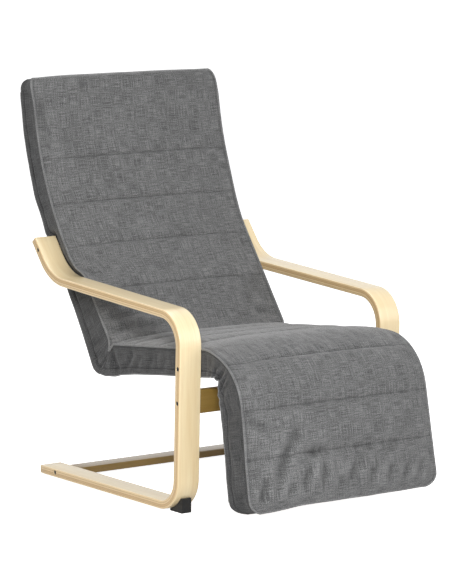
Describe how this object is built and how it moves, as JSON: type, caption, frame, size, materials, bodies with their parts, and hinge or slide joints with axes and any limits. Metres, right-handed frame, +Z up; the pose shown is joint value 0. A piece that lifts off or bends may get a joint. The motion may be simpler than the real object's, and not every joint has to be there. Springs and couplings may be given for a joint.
{
  "type": "deck recliner",
  "caption": "Cantilevered bentwood lounge chair with a bent seat and back frame, a long channelled pad and a hinged padded footrest that swings up in steps.",
  "frame": {"origin": "on the floor, midway between the chair's foremost and rearmost points and midway between the side frames", "axes": "+Z up, the sitter faces -Y, +X towards the sitter's left"},
  "size_m": [0.67, 1.015, 1.0049],
  "materials": {
    "birch_strip": "clear satin lacquer over laminated birch veneer",
    "birch_crossbar": "clear satin lacquer over birch plywood",
    "birch_ply": "clear satin lacquer over birch plywood",
    "dark_screws": "black zinc plated steel, satin",
    "zinc_steel": "bright zinc plated steel",
    "black_foot": "fine grained moulded plastic",
    "felt_pad": "dense pressed felt",
    "grey_fabric": "melange linen weave",
    "lining_fabric": "black woven lining"
  },
  "bodies": {
    "chair": {"side_frame_right": "birch_strip", "side_frame_left": "birch_strip", "rear_crossbar": "birch_crossbar", "front_crossbar": "birch_crossbar", "back_crossbar": "birch_ply", "seat_back_rail_right": "birch_ply", "seat_back_rail_left": "birch_ply", "head_rail": "birch_ply", "seat_front_rail": "birch_ply", "back_slat_1": "birch_ply", "back_slat_2": "birch_ply", "back_slat_3": "birch_ply", "back_slat_4": "birch_ply", "back_slat_5": "birch_ply", "seat_slat_1": "birch_ply", "seat_slat_2": "birch_ply", "seat_slat_3": "birch_ply", "slat_dowels": "birch_ply", "crossbar_dowels": "birch_ply", "upturn_bolts": "dark_screws", "seat_bolts": "dark_screws", "front_crossbar_bolts": "dark_screws", "rear_crossbar_bolts": "dark_screws", "barrel_nuts": "zinc_steel", "bolt_spacers": "zinc_steel", "back_crossbar_screws": "zinc_steel", "front_foot_right": "black_foot", "front_foot_left": "black_foot", "front_foot_screws": "zinc_steel", "rear_pads": "felt_pad", "hinge_bracket_right": "zinc_steel", "hinge_bracket_left": "zinc_steel", "hinge_pins": "zinc_steel", "hinge_bracket_screws": "zinc_steel", "pawl_pins": "zinc_steel", "back_cushion": "grey_fabric", "head_pocket": "lining_fabric", "seat_cushion": "grey_fabric"},
    "footrest": {"hinge_leaf_right": "zinc_steel", "hinge_leaf_left": "zinc_steel", "hinge_leaf_screws": "zinc_steel", "footrest_rail_right": "birch_ply", "footrest_rail_left": "birch_ply", "footrest_slat_1": "birch_ply", "footrest_slat_2": "birch_ply", "footrest_end_rail": "birch_ply", "footrest_dowels": "birch_ply", "footrest_cushion": "grey_fabric"},
    "pawl_right": {"pawl_right": "zinc_steel"},
    "pawl_left": {"pawl_left": "zinc_steel"}
  },
  "joints": [
    {"name": "footrest_hinge", "type": "hinge", "parent": "chair", "child": "footrest", "pos_m": [0, -0.35512, 0.35251], "axis": [-1, 0, 0], "range_deg": [0, 78]},
    {"name": "pawl_hinge_right", "type": "hinge", "parent": "chair", "child": "pawl_right", "pos_m": [0, -0.32713, 0.35333], "axis": [-1, 0, 0], "range_deg": [0, 12]},
    {"name": "pawl_hinge_left", "type": "hinge", "parent": "chair", "child": "pawl_left", "pos_m": [0, -0.32713, 0.35333], "axis": [-1, 0, 0], "range_deg": [0, 12]}
  ]
}
